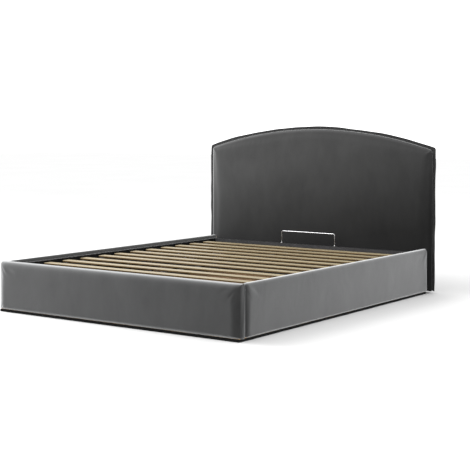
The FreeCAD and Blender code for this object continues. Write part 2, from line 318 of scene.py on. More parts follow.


# %% [markdown]
# ## Velvet
# Short-pile velvet is dark where it is seen head-on, because light goes down between the hairs,
# and bright where it is seen along the surface, because the hairs' sides catch the light. The
# Principled shader's sheen does exactly this, so the base is nearly black and the sheen does the
# rest. Hands brush the pile this way and that, which leaves soft cloudy marks: a slow noise tips
# the normal a little. The pile itself is a very fine noise. The headboard's velvet is also dimmed
# towards the floor and the right, by a map range along a slanted line. That is painted shade: it
# stands in for light falling off down and across the tall upright piece, which is not modelled.
# The folded seam has a darker base and less sheen.

# %% Velvet for the covers and for the folded seam
def velvet(name, depth):
    """Dark base scaled by depth, sheen, brushed marks and fine pile."""
    cloth = Finish(name, Roughness=0.9, Specular_IOR_Level=0.1, Sheen_Weight=1.0, Sheen_Roughness=0.47)
    cloth.shader.inputs["Sheen Tint"].default_value = (0.98, 0.99, 1.0, 1.0)
    marks = cloth.noise(4.2, (1, 1, 0.8), detail=2.5, roughness=0.55, distortion=0.35)
    strokes = cloth.noise(16.0, (1, 1, 0.45), detail=3.0, roughness=0.6)
    pile = cloth.noise(900.0, detail=2.0)
    tone = cloth.sum((marks, 0.45), (strokes, 0.3), (pile, 0.25))
    cloth.colour(tone, (0.36, [0.008 * depth] * 3), (0.64, [0.019 * depth] * 3))
    relief = cloth.sum((marks, 0.6), (strokes, 0.10), (pile, 0.03))
    return cloth.relief(relief, 4 * MM)


grey_velvet = velvet("grey_velvet", 1.0)
# painted shade: the headboard's velvet is dimmed in colour and sheen towards the floor and the right
headboard_velvet = velvet("headboard_velvet", 1.0).painted_shade_ramp((-0.17, 0, 1), 0.28, 0.88, 0.31, 0.97)
seam_velvet = velvet("seam_velvet", 0.5)
seam_velvet.shader.inputs["Sheen Weight"].default_value = 0.55
print("velvet finishes:", grey_velvet.material.name, seam_velvet.material.name)

# %% [markdown]
# ## The headboard's outline
# The headboard is cut to one outline: straight sides, one shallow arc on top, and small rounded
# corners between them. All its soft pieces follow that outline, moved in by some distance. Its
# sizes are read back from the frame: the seam is the widest piece, and its box gives the half
# width, the peak and the bottom of the outline. The arc's radius is given.

# %% Outline of the arch
seam_low, seam_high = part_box("headboard_flange")
pad_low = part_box("headboard_pad")[0]
HALF = seam_high.x
PEAK = seam_high.z
BOTTOM = seam_low.z
ARC_RADIUS = 2.954
ARC_CENTRE = PEAK - ARC_RADIUS
SEAM_WIDTH = 22 * MM
BAND_INSET = 32 * MM
PANEL_INSET = 42 * MM


def top_of(x, inset):
    """Height of the arc above x, for the outline moved in by inset."""
    return ARC_CENTRE + np.sqrt((ARC_RADIUS - inset) ** 2 - x ** 2)


SIDE_POINTS, TURN_POINTS, ARC_POINTS, FOOT_POINTS = 60, 12, 120, 90


def arch_loop(inset, corner, foot=0.0):
    """Points (x, z) round the outline moved in by inset: up the left side, over the arc, down the
    right side, and back along the bottom. Each corner arc's centre lies corner inside both the
    side and the big arc."""
    half, radius = HALF - inset, ARC_RADIUS - inset
    centre_x = half - corner
    centre_z = ARC_CENTRE + math.sqrt((radius - corner) ** 2 - centre_x ** 2)
    lean = math.atan2(centre_x, centre_z - ARC_CENTRE)
    low = BOTTOM + foot
    side_z = np.linspace(low, centre_z, SIDE_POINTS, endpoint=False)
    turn = np.linspace(0, math.pi / 2 - lean, TURN_POINTS, endpoint=False)
    swing = np.linspace(-lean, lean, ARC_POINTS, endpoint=False)
    right_turn = turn[::-1] + turn[1]
    x = [np.full(SIDE_POINTS, -half), -(centre_x + corner * np.cos(turn)), radius * np.sin(swing),
         centre_x + corner * np.cos(right_turn), np.full(SIDE_POINTS, half),
         np.linspace(half, -half, FOOT_POINTS, endpoint=False)]
    z = [side_z, centre_z + corner * np.sin(turn), ARC_CENTRE + radius * np.cos(swing),
         centre_z + corner * np.sin(right_turn), np.linspace(centre_z, low, SIDE_POINTS, endpoint=False),
         np.full(FOOT_POINTS, low)]
    return np.stack([np.concatenate(x), np.concatenate(z)], -1)


CORNER = 18 * MM

around = arch_loop(0, CORNER)
steps = np.linalg.norm(np.roll(around, -1, 0) - around, axis=1)
travel = np.concatenate([[0], np.cumsum(steps)[:-1]])
print("seam runs", round(float(steps.sum()), 2), "m round the headboard")

# %% [markdown]
# ## Front pad
# The pad is a sheet of foam under velvet. Its face is nearly flat, its edge rolls back over
# 20 mm to the seam, and it is fullest in the middle. It could be a cube with bevels, but the
# rounding has to follow the arch, so the depth of each point is worked out from its distance to
# the outline: a quarter of an ellipse near the edge, then a slow crown.

# %% Front pad of the headboard
PAD_ROLL = 20 * MM
PAD_CROWN = 12 * MM
CROWN_REACH = 55 * MM


def edge_lines(low, high, step):
    """Grid lines between two edges: close together at the edges and step apart in the middle."""
    near = np.array([0, 1.2, 3.2, 6, 9.5, 13.5, 18, 23, 30, 39, 50]) * MM
    middle = np.linspace(low + near[-1], high - near[-1], int((high - low) / step))[1:-1]
    return np.concatenate([low + near, middle, (high - near)[::-1]])


def distance_inside(x, z, half, inset, corner):
    """Distance from a point to the outline, with rounded top corners."""
    side = half - np.abs(x)
    top = ARC_RADIUS - inset - np.hypot(x, z - ARC_CENTRE)
    square = np.minimum(side, top)
    return corner - np.hypot(np.maximum(corner - side, 0), np.maximum(corner - top, 0)) \
        + np.maximum(square - corner, 0)


def arch_grid(inset, corner, step, low):
    """A grid of (x, z) that fills the arch. In each top corner the square cell block is drawn in to a
    quarter disc: a point m from the block's centre along its longer side goes to distance m from it."""
    half = HALF - inset
    u = edge_lines(-half, half, step)
    share = edge_lines(0.0, 1.0, step)
    x = np.repeat(u[:, None], len(share), 1)
    z = low + share[None, :] * (top_of(u, inset)[:, None] - low)
    side, top = half - np.abs(x), ARC_RADIUS - inset - np.hypot(x, z - ARC_CENTRE)
    out_x, out_z = np.maximum(corner - side, 0), np.maximum(corner - top, 0)
    both = (out_x > 0) & (out_z > 0)
    shrink = np.where(both, np.maximum(out_x, out_z) / np.maximum(np.hypot(out_x, out_z), 1e-9), 1.0)
    x = x - np.sign(x) * out_x * (1 - shrink)
    z = z - out_z * (1 - shrink)
    return x, z


pad_x, pad_z = arch_grid(SEAM_WIDTH, CORNER, 15 * MM, pad_low.z)
inside = distance_inside(pad_x, pad_z, HALF - SEAM_WIDTH, SEAM_WIDTH, CORNER)
to_edge = np.clip(np.minimum(inside, pad_z - pad_low.z + 6 * MM), 0, None)
roll = np.sqrt(np.clip(1 - (1 - np.minimum(to_edge / PAD_ROLL, 1)) ** 2, 0, 1))
crown = 1 - np.exp(-to_edge / CROWN_REACH)
pad_back = seam_low.y + 1 * MM
pad_face = seam_low.y - (seam_low.y - pad_low.y - PAD_CROWN) * roll - PAD_CROWN * crown
front = np.stack([pad_x, pad_face, pad_z], -1)
back = np.stack([pad_x, np.full_like(pad_x, pad_back), pad_z], -1)
rim = [np.stack([front[pick], back[pick]], 0) for pick in ((0,), (-1,), (slice(None), 0), (slice(None), -1))]
points, faces = join_grids([(front,), (back,)] + [(strip,) for strip in rim])
front_pad = make_piece("headboard_front_pad", points, faces, "bed_base", "velvet")
swell(front_pad, lambda p: p[:, 1] > seam_low.y - 6 * MM, 3 * MM)
smoother(front_pad)
dress(headboard_velvet, front_pad)
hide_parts("headboard_pad")

# %% [markdown]
# ## Folded seam round the headboard
# Between the front pad and the side band the upholsterer sews in a strip of velvet, folded in
# two, that stands out all round like a flat fin. A fin of cloth is never quite flat: it waves
# gently. The strip's cross-section is carried round the outline, and two sine waves of different
# length push it forwards and backwards, more at its free edge than at its stitches.

# %% Folded seam and its stitches
def seam_wave(reach):
    """How far the fin leans forward or back along its length, by a reach from 0 at the stitches to 1
    at the free edge: two sine waves that fade out near the floor."""
    rise = np.clip((around[:, 1] - BOTTOM) / 0.12, 0, 1)
    lean = 1.7 * np.sin(2 * math.pi * travel / 0.31 + 0.6) + 0.9 * np.sin(2 * math.pi * travel / 0.127)
    return lean * MM * rise * reach


def seam_narrowing(reach):
    """How far the free edge pulls in along its length: a little all round, in two sine waves, and
    more in a soft hump on each half of the arc."""
    rise = np.clip((around[:, 1] - BOTTOM) / 0.05, 0, 1)
    top = np.clip((around[:, 1] - top_of(HALF, 0)) / (PEAK - top_of(HALF, 0)), 0, 1)
    slack = np.exp(-((np.abs(around[:, 0]) - 0.36) / 0.2) ** 2)
    lumps = 1.0 * np.sin(2 * math.pi * travel / 0.42 + 1.1) + 0.5 * np.sin(2 * math.pi * travel / 0.17)
    pull = 1.4 + 5.0 * slack * top + lumps
    return (pull * rise + 2.5 * (1 - rise)) * MM * reach ** 2


def seam_ring(inset, depth):
    """One ring of the fin: its distance in from the outline and its place between the pad and the band."""
    reach = np.clip(1 - inset / SEAM_WIDTH, 0, 1)
    corner = max(CORNER - inset, 3 * MM)
    ring = arch_loop(inset, corner, foot=inset * 0.24)
    inwards = arch_loop(inset + 1 * MM, max(corner - 1 * MM, 2 * MM), foot=inset * 0.24) - ring
    ring = ring + inwards / MM * seam_narrowing(reach)[:, None]
    return np.stack([ring[:, 0], depth + seam_wave(reach), ring[:, 1]], -1)


seam_front = seam_low.y
FREE = 2 * SIDE_POINTS + 2 * TURN_POINTS + ARC_POINTS      # the fin runs up the sides and over the arc
fin = [(40, 0.5), (28, 0.5), (21, 0.6), (17.5, 0.9), (16, 1.2), (14.5, 0.9), (10, 0.3), (5, 0.1), (2, 0.3),
       (0.5, 0.9), (0, 1.8), (0.5, 2.9), (2, 3.6), (5, 3.9), (10, 3.7), (14.5, 3.1), (16, 2.8), (17.5, 3.1),
       (21, 3.4), (28, 3.5), (40, 3.5)]
rings = np.stack([seam_ring(inset * MM, seam_front + depth * MM)[:FREE + 1] for inset, depth in fin])
points, faces = join_grids([(rings,)])
seam_fin = make_piece("headboard_seam_flange", points, faces, "bed_base", "velvet_seam")
fold = seam_fin.modifiers.new("cloth", "SOLIDIFY")
fold.thickness = 0.7 * MM
fold.offset = -1
smoother(seam_fin)
dress(seam_velvet, seam_fin)
strip_length = float(steps[:FREE].sum())
print("seam strip: 80 mm by", round(strip_length, 2), "m before it is folded")
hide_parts("headboard_flange")


def capsule(length, radius, rings=5, sides=6):
    """A short rounded thread along X: its radius is a half ellipse along its length."""
    s = np.linspace(-1, 1, rings)[:, None]
    a = np.linspace(0, 2 * math.pi, sides, endpoint=False)[None, :]
    thick = radius * np.sqrt(1 - (0.92 * s) ** 2)
    grid = np.stack([s * length / 2 + 0 * a, thick * np.cos(a), thick * np.sin(a)], -1)
    return grid.reshape(-1, 3), grid_faces(rings, sides, close_columns=True)


def scatter(shape, places, along, outward):
    """Copies of one small shape: its X axis lies along, its Z axis points outward."""
    points, faces = shape
    along = along / np.linalg.norm(along, axis=1, keepdims=True)
    across = np.cross(outward, along)
    turned = points[None, :, :1] * along[:, None] + points[None, :, 1:2] * across[:, None] \
        + points[None, :, 2:] * outward[:, None]
    copies = (turned + places[:, None]).reshape(-1, 3)
    shifts = np.arange(len(places))[:, None, None] * len(points)
    return copies, (faces[None] + shifts).reshape(-1, 4)


def spaced(line, pitch):
    """Points at even steps along a line of points."""
    length = np.concatenate([[0], np.cumsum(np.linalg.norm(np.diff(line, axis=0), axis=1))])
    marks = np.arange(pitch / 2, length[-1], pitch)
    return np.stack([np.interp(marks, length, line[:, k]) for k in range(3)], -1)


STITCH = 5.5 * MM
sewn = seam_ring(16 * MM, seam_front + 0.95 * MM)[:FREE]
stitches = []
for shift, facing in ((0, -1), (1.9 * MM, 1)):
    middles = spaced(sewn + [0, shift, 0], STITCH)
    runs = np.gradient(middles, axis=0)
    outward = np.tile([0.0, facing, 0.0], (len(middles), 1))
    stitches.append(scatter(capsule(3.9 * MM, 0.45 * MM), middles, runs, outward))
points = np.concatenate([s[0] for s in stitches])
faces = np.concatenate([stitches[0][1], stitches[1][1] + len(stitches[0][0])])
seam_stitches = make_piece("headboard_seam_stitches", points, faces, "bed_base", "velvet_seam", weld=False)
thread = Finish("dark_thread", Roughness=0.55, Sheen_Weight=0.3)
thread.colour(thread.noise(2500.0), (0.35, (0.018, 0.018, 0.02)), (0.65, (0.05, 0.05, 0.054)))
thread.relief(thread.waves(900.0, (1, 0.3, 1), "DIAGONAL"), 0.1 * MM)
dress(thread, seam_stitches)

# %% [markdown]
# ## Side band of the headboard
# Behind the seam, a thin foam strip and a band of velvet cover the panel's edge. The velvet is
# pulled over the corner at the back and stapled. Its cross-section is a flat face with a little
# belly, carried round the same outline; small tucks run back from the stitches.

# %% Side band
band_front, band_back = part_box("headboard_border")[0].y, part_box("headboard_border")[1].y
depth_of = np.linspace(0, 1, 13)
belly = 2.2 * MM * np.sin(math.pi * depth_of) ** 0.7
turn_in = 5 * MM * np.clip((depth_of - 0.86) / 0.14, 0, 1) ** 2
tuck = np.sin(2 * math.pi * travel / 0.038) + 0.6 * np.sin(2 * math.pi * travel / 0.0231 + 1)
tuck_fade = np.exp(-depth_of * 5)
band_rings = []
for share, out, tuck_here in zip(depth_of, belly - turn_in, tuck_fade):
    ring = arch_loop(BAND_INSET - out, CORNER, foot=1 * MM)
    inwards = arch_loop(BAND_INSET - out + 1 * MM, CORNER - 1 * MM, foot=1 * MM) - ring
    ring = ring + inwards / MM * (0.35 * MM * tuck * tuck_here)[:, None]
    depth = np.full(len(ring), band_front + share * (band_back - band_front))
    band_rings.append(np.stack([ring[:, 0], depth, ring[:, 1]], -1))
inner = arch_loop(PANEL_INSET, 10 * MM, foot=9 * MM)
for y in (band_back, band_front):
    band_rings.append(np.stack([inner[:, 0], np.full(len(inner), y), inner[:, 1]], -1))
points, faces = join_grids([(np.stack(band_rings), True, True)])
side_band = make_piece("headboard_side_band", points, faces, "bed_base", "velvet")
smoother(side_band)
dress(grey_velvet, side_band)
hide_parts("headboard_border")

# %% [markdown]
# ## Back lining
# The back is closed with thin black cloth, turned under at its edge and stapled about every
# 45 mm. It lies tight over the two posts and the two battens behind the panel, and sinks a
# little between them. The sink is a product of two soft steps, one measured across and one up.

# %% Back lining and its staples
lining_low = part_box("headboard_lining")[0]
LINING_INSET = BAND_INSET + 6 * MM
lining_x, lining_z = arch_grid(LINING_INSET, 12 * MM, 18 * MM, lining_low.z + 6 * MM)


def free_of(value, low, high, soft):
    """0 over a support between low and high, rising to 1 at soft beyond it."""
    away = np.maximum(low - value, value - high)
    return 1 - np.exp(-(np.clip(away, 0, None) / soft) ** 2)


sink = free_of(np.abs(lining_x), 0.700, 0.770, 0.07)
for name in ("headboard_batten_low", "headboard_batten_mid"):
    batten_low, batten_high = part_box(name)
    sink = sink * np.maximum(free_of(lining_z, batten_low.z, batten_high.z, 0.07), np.abs(lining_x) > 0.77)
lining_edge = distance_inside(lining_x, lining_z, HALF - LINING_INSET, LINING_INSET, 12 * MM)
lining_edge = np.clip(np.minimum(lining_edge, lining_z - lining_z.min()), 0, None)
near_edge = np.exp(-lining_edge / 0.035)
turn = np.arctan2(lining_z - 0.55, lining_x)
pull = near_edge * (1 - np.exp(-lining_edge / 0.004)) * np.sin(turn * 140) * 0.5 * MM
hem = 0.5 * MM * np.clip((12 * MM - lining_edge) / MM, 0, 1)
lining_y = lining_low.y + 1.1 * MM + hem + pull - 2.6 * MM * sink * (1 - near_edge)
points, faces = join_grids([(np.stack([lining_x, lining_y, lining_z], -1),)])
back_lining = make_piece("headboard_back_lining", points, faces[:, ::-1], "bed_base", "lining", weld=False)
cloth_thick = back_lining.modifiers.new("thickness", "SOLIDIFY")
cloth_thick.thickness = 0.5 * MM
cloth_thick.offset = -1
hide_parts("headboard_lining")


def staple(width=11 * MM, wire=1.0 * MM):
    """A staple's crown: a flattened wire with both ends turned in, as a tube of square section."""
    line = np.array([[-width / 2, 0, -1.2 * MM], [-width / 2 + 0.3 * MM, 0, 0], [width / 2 - 0.3 * MM, 0, 0],
                     [width / 2, 0, -1.2 * MM]])
    corners = np.array([[-1, -1], [1, -1], [1, 1], [-1, 1]]) * wire / 2
    grid = np.stack([line[:, None, 0] + 0 * corners[None, :, 0], line[:, None, 1] + corners[None, :, 0],
                     line[:, None, 2] + 0.6 * corners[None, :, 1]], -1)
    return grid.reshape(-1, 3), grid_faces(4, 4, close_columns=True)


staple_ring = arch_loop(LINING_INSET + 6 * MM, 8 * MM, foot=12 * MM)
staple_depth = np.full(len(staple_ring), lining_low.y + 2.1 * MM)
staple_line = np.stack([staple_ring[:, 0], staple_depth, staple_ring[:, 1]], -1)
staple_places = spaced(np.concatenate([staple_line, staple_line[:1]]), 45 * MM)
wobble = np.random.default_rng(7).normal(0, 1.0, (2, len(staple_places)))
staple_places[:, 0] += wobble[0] * MM
staple_runs = np.gradient(staple_places, axis=0)
staple_runs = staple_runs + np.stack([wobble[1], 0 * wobble[1], wobble[0]], -1) * 5 * MM
staple_runs[:, 1] = 0
backwards = np.tile([0.0, 1.0, 0.0], (len(staple_places), 1))
points, faces = scatter(staple(), staple_places, staple_runs, backwards)
lining_staples = make_piece("lining_staples", points, faces, "bed_base", "bright_steel", weld=False)
print(len(staple_places), "staples hold the back lining")

# %% [markdown]
# ## Foot board and side rails
# Each is a board wrapped in foam and velvet. The foam softens every edge, but not by the same
# amount: the foot board's ends come round like a soft nose, its top rolls over, and its bottom
# is pulled tight. A box with a different radius on each side does this. The box shrunk by its
# radii is the core. What a surface point has beyond the core, measured in radii, is brought back
# to length one, and that gives elliptical edges and corners.

# %% Soft blocks
def soft_lines(low, high, round_low, round_high, step):
    """Grid lines along one side: even in angle over each rounded edge, half as far apart beside it,
    even between."""
    bend = np.tan(np.linspace(0, math.pi / 4, 6))
    start, end = low + round_low, high - round_high
    if end - start > 16 * step:
        near = np.arange(12) * step / 2
        count = int(round((end - start) / step)) - 11
        inner = np.linspace(start + near[-1], end - near[-1], count)[1:-1]
        middle = np.concatenate([start + near, inner, (end - near)[::-1]])
    else:
        middle = np.linspace(start, end, max(2, int(round((end - start) / step)) + 1))
    low_edge = (low + round_low - round_low * bend[1:])[::-1]
    high_edge = high - round_high + round_high * bend[1:]
    return np.concatenate([low_edge, middle, high_edge])


def soft_block(low, high, round_low, round_high, step):
    """Six grids over a box, drawn back onto elliptical edges and corners."""
    low, high, round_low, round_high = (np.array(v, float) for v in (low, high, round_low, round_high))
    lines = [soft_lines(*span, step) for span in zip(low, high, round_low, round_high)]
    grids = []
    for axis in range(3):
        first, second = [k for k in range(3) if k != axis]
        a, b = np.meshgrid(lines[first], lines[second], indexing="ij")
        for end in (low[axis], high[axis]):
            grid = np.zeros((*a.shape, 3))
            grid[..., first], grid[..., second], grid[..., axis] = a, b, end
            core = np.clip(grid, low + round_low, high - round_high)
            beyond = grid - core
            radii = np.where(beyond < 0, round_low, round_high)
            share = beyond / radii
            grids.append((core + radii * share / np.linalg.norm(share, axis=-1, keepdims=True),))
    return join_grids(grids)


# %% [markdown]
# The foot board's velvet is glued to the foam and stapled behind and below, so its back and its
# bottom are pinned while the rest swells. The side rails are made in the same way; each runs
# from the foot board to the headboard, and its two ends are rounded, which leaves a narrow dark
# groove beside the foot board.

# %% Foot board cover
def rough(piece, height, length, seed, keep):
    """Uneven foam: pushes points along their normals by the mean of six slow waves whose directions
    and starts are drawn at random."""
    rng = np.random.default_rng(seed)
    places = places_of(piece.data)
    normals = np.zeros(places.size)
    piece.data.vertex_normals.foreach_get("vector", normals)
    directions = rng.normal(0, 1, (6, 3))
    directions *= 2 * math.pi / length / np.linalg.norm(directions, axis=1, keepdims=True)
    waves = np.sin(places @ directions.T + rng.uniform(0, 6.28, 6)).mean(1)
    places = places + normals.reshape(-1, 3) * (height * waves * keep(places))[:, None]
    piece.data.vertices.foreach_set("co", places.ravel())
    piece.data.update()


foot_low, foot_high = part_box("foot_board_cover")
NOSE_LENGTH, NOSE_DEPTH = 58 * MM, 25 * MM
FOAM_GRID = 13 * MM             # distance between grid lines on the flat parts
FOOT_LOW_RADII = (7 * MM, 30 * MM, 14 * MM)       # left end, front and bottom
FOOT_HIGH_RADII = (7 * MM, 9 * MM, 30 * MM)       # right end, back and top
points, faces = soft_block(foot_low, foot_high, FOOT_LOW_RADII, FOOT_HIGH_RADII, FOAM_GRID)
into_nose = np.clip((np.abs(points[:, 0]) - foot_high.x + NOSE_LENGTH) / NOSE_LENGTH, 0, 1)
thinner = 1 - NOSE_DEPTH / (foot_high.y - foot_low.y) * (1 - np.sqrt(1 - 0.98 * into_nose ** 2))
points[:, 1] = foot_high.y - (foot_high.y - points[:, 1]) * thinner
foot_cover = make_piece("foot_board_upholstery", points, faces, "bed_base", "velvet")
swell(foot_cover, lambda p: (p[:, 1] > foot_high.y - 10 * MM) | (p[:, 2] < foot_low.z + 3 * MM), 2.5 * MM)
rough(foot_cover, 0.8 * MM, 0.22, 3, lambda p: p[:, 1] < foot_high.y - 12 * MM)
smoother(foot_cover)
dress(grey_velvet, foot_cover)
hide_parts("foot_board_cover")

# %% Side rail covers
LINING_GAP = 1.2 * MM
RAIL_OUTER, RAIL_INNER = 17 * MM, 10 * MM         # radii of the long edges, by the side they are on
RAIL_FOOT_END, RAIL_HEAD_END = 42 * MM, 7 * MM
RAIL_BOTTOM, RAIL_TOP = 12 * MM, 24 * MM


def rail_pinned(p):
    """Points that stay put: those against the board, and those stapled underneath."""
    return (np.abs(p[:, 0]) < abs(inner_x) + 6 * MM) | (p[:, 2] < rail_low.z + 3 * MM)


for side, sign in (("left", -1), ("right", 1)):
    rail_low, rail_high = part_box("side_cover_" + side)
    inner_x = (rail_high.x if sign < 0 else rail_low.x) + sign * LINING_GAP
    outer_x = rail_low.x if sign < 0 else rail_high.x
    low = (min(inner_x, outer_x), rail_low.y, rail_low.z)
    high = (max(inner_x, outer_x), rail_high.y, rail_high.z)
    across = (RAIL_OUTER, RAIL_INNER)[::-sign]
    block = soft_block(low, high, (across[0], RAIL_FOOT_END, RAIL_BOTTOM),
                       (across[1], RAIL_HEAD_END, RAIL_TOP), FOAM_GRID)
    cover = make_piece("side_rail_upholstery_" + side, *block, "bed_base", "velvet")
    swell(cover, rail_pinned, 2 * MM)
    rough(cover, 0.8 * MM, 0.25, 5 + sign, lambda p: np.abs(p[:, 0]) > abs(inner_x) + 8 * MM)
    smoother(cover)
    dress(grey_velvet, cover)
    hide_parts("side_cover_" + side)

# %% [markdown]
# ## Linings inside the storage box
# Inside, the velvet stops a little below the top edge, and thin black cloth covers the boards
# down to the storage floor. Each lining is a flat grid with a slight ripple, and its top edge is
# folded over a stiff tack strip, which shows as a thin raised line.

# %% Inner linings
LINING_TOP = 0.262
floor_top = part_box("floor_panel_left")[1].z
inner_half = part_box("side_cover_right")[0].x
inner_foot = foot_high.y
inner_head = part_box("side_cover_right")[1].y


def lining_sheet(name, start, end, outward):
    """A strip of lining from the storage floor up to the tack strip, between two corners."""
    start, end, outward = np.array(start), np.array(end), np.array(outward)
    length = np.linalg.norm(end - start)
    u = np.linspace(0, 1, int(length / 0.02))
    v = np.concatenate([np.linspace(0, 0.93, 12), [0.945, 0.955, 0.985, 0.995, 1.0]])
    ripple = 0.25 * MM * np.sin(u * length * 37)[:, None] * np.sin(v * math.pi)[None, :]
    strip = 0.9 * MM * np.interp(v, [0, 0.945, 0.955, 0.985, 1.0], [0, 0, 1, 1, 0.2])[None, :]
    base = start + u[:, None, None] * (end - start) + 0 * v[None, :, None]
    grid = base + (ripple + strip)[..., None] * outward
    grid[..., 2] = floor_top + 0.5 * MM + v[None, :] * (LINING_TOP - floor_top)
    points, faces = join_grids([(grid,)])
    piece = make_piece(name, points, faces, "bed_base", "lining", weld=False)
    thick = piece.modifiers.new("thickness", "SOLIDIFY")
    thick.thickness = 0.4 * MM
    thick.offset = 0
    return piece


side_x = inner_half + 0.5 * MM
foot_y = inner_foot + 0.3 * MM
linings = [lining_sheet("inner_lining_right", (side_x, inner_foot, 0), (side_x, inner_head, 0), (-0.7, 0, 0)),
           lining_sheet("inner_lining_left", (-side_x, inner_head, 0), (-side_x, inner_foot, 0), (0.7, 0, 0)),
           lining_sheet("inner_lining_foot", (-side_x, foot_y, 0), (side_x, foot_y, 0), (0, 0.7, 0))]

# %% [markdown]
# Where the velvet ends inside, its raw edge is rolled round a thin cord and tacked down. That
# rolled edge is a small tube with a slight wave, carried along the three inner faces. It is
# worth modelling, because its upper side catches the light as one fine line.

# %% Rolled velvet edge
def rolled_edge(start, end, radius=2.6 * MM, sides=10):
    """A thin tube between two points, whose radius and height vary a little along it."""
    start, end = np.array(start), np.array(end)
    length = np.linalg.norm(end - start)
    u = np.linspace(0, 1, int(length / 0.012))
    run = (end - start) / length
    side = np.cross(run, [0.0, 0.0, 1.0])
    a = np.linspace(0, 2 * math.pi, sides, endpoint=False)
    thick = radius * (1 + 0.08 * np.sin(u * length * 61))[:, None, None]
    line = start + u[:, None] * (end - start)
    line[:, 2] += 0.4 * MM * np.sin(u * length * 17)
    outward = np.cos(a)[None, :, None] * side + np.sin(a)[None, :, None] * [0.0, 0.0, 1.0]
    return line[:, None] + thick * outward


edge_x, edge_z = inner_half - 0.6 * MM, LINING_TOP + 2.5 * MM
edge_y = inner_foot + 0.6 * MM
edges = [rolled_edge((side * edge_x, edge_y, edge_z), (side * edge_x, inner_head - 1 * MM, edge_z))
         for side in (-1, 1)]
edges.append(rolled_edge((-edge_x, edge_y, edge_z), (edge_x, edge_y, edge_z)))
points, faces = join_grids([(edge, False, True) for edge in edges])
velvet_edges = make_piece("inner_velvet_edges", points, faces, "bed_base", "velvet")
dress(grey_velvet, velvet_edges)

# %% [markdown]
# ## Pull strap and stop feet
# The slatted frame lifts by a webbing loop on its foot tube. Webbing is a flat band, so a
# rounded rectangle is carried along a closed path of rounded corners. The wire mattress stop
# stands in two small domed feet, which are turned shapes: a profile of radii along the axis.

# %% Pull strap
strap_low, strap_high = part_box("pull_strap")
tube_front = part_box("frame_tube_foot")[0].y
WEB = 2.4 * MM
WEB_HALF = 15 * MM


def rounded_loop(low_y, high_y, low_z, high_z, radius, per_corner=10, per_side=14):
    """Closed path of a rounded rectangle in the YZ plane, anticlockwise from the top."""
    y, z = [], []
    corners = [(low_y + radius, high_z - radius, 90), (low_y + radius, low_z + radius, 180),
               (high_y - radius, low_z + radius, 270), (high_y - radius, high_z - radius, 0)]
    for centre_y, centre_z, begin in corners:
        a = np.radians(begin + np.linspace(0, 90, per_corner))
        y.append(centre_y + radius * np.cos(a))
        z.append(centre_z + radius * np.sin(a))
    y, z = np.concatenate(y), np.concatenate(z)
    line = np.stack([0 * y, y, z], -1)
    return spaced(np.concatenate([line, line[:1]]), 3 * MM)


def band_along(path, closed):
    """A flat band: at each point of the path a rounded rectangle stands across the run of the path."""
    before, after = (np.roll(path, 1, 0), np.roll(path, -1, 0)) if closed else (path, path)
    run = after - before if closed else np.gradient(path, axis=0)
    run /= np.linalg.norm(run, axis=1, keepdims=True)
    side = np.array([1.0, 0, 0])
    face = np.cross(run, side)
    x = np.array([-1, -0.97, -0.5, 0, 0.5, 0.97, 1, 0.97, 0.5, 0, -0.5, -0.97]) * WEB_HALF
    y = np.array([0, 1, 1, 1, 1, 1, 0, -1, -1, -1, -1, -1]) * WEB / 2
    return path[:, None] + x[None, :, None] * side + y[None, :, None] * face[:, None]


mid = WEB / 2 + 0.2 * MM
loop = band_along(rounded_loop(strap_low.y + mid, tube_front - mid - 0.6 * MM, strap_low.z + mid,
                               strap_high.z - mid, 10 * MM), True)
tongue_y = np.linspace(tube_front - 8 * MM, strap_high.y - 1 * MM, 10)
tongue_path = np.stack([0 * tongue_y, tongue_y, np.full(10, strap_high.z - mid)], -1)
tongue = band_along(tongue_path, False)
ends = [np.stack([tongue[k], np.repeat(tongue_path[k][None], 12, 0)]) for k in (0, -1)]
points, faces = join_grids([(loop, True, True), (tongue, False, True)] + [(e, False, True) for e in ends])
strap = make_piece("pull_strap_webbing", points, faces, "lift_frame", "webbing")
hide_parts("pull_strap")

# %% Feet of the mattress stop
def turned(profile, x, y, z, sides=32):
    """A turned shape that stands at (x, y, z): profile rows are (height, radius)."""
    profile = np.array(profile) * MM
    a = np.linspace(0, 2 * math.pi, sides, endpoint=False)
    height, radius = profile[:, :1], profile[:, 1:]
    return np.stack([x + radius * np.cos(a), y + radius * np.sin(a), z + height + 0 * a], -1)


fix_low, fix_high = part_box("stop_fixings")
FOOT_RADIUS = 5.5 * MM
foot_profile = [(0, 0), (0, 5.2), (0.5, 5.5), (5.2, 5.5), (6.8, 5.2), (8.0, 4.5), (8.7, 3.7), (9, 3.1),
                (9, 0)]
stop_y = (fix_low.y + fix_high.y) / 2
feet = [(turned(foot_profile, x, stop_y, fix_low.z), False, True)
        for x in (fix_low.x + FOOT_RADIUS, fix_high.x - FOOT_RADIUS)]
stop_feet = make_piece("mattress_stop_feet", *join_grids(feet), "lift_frame", "chrome_wire")
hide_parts("stop_fixings")

# %% [markdown]
# ## Finishes of cloth, wood, metal and plastic
# Each hard part keeps its frame shape and gets a finish of its own. Wood is a stretched noise
# along the grain. Powder coat is a fine pebbled relief. Chrome and zinc are metal with faint
# brushing. Plastic has a faint spark-eroded texture.

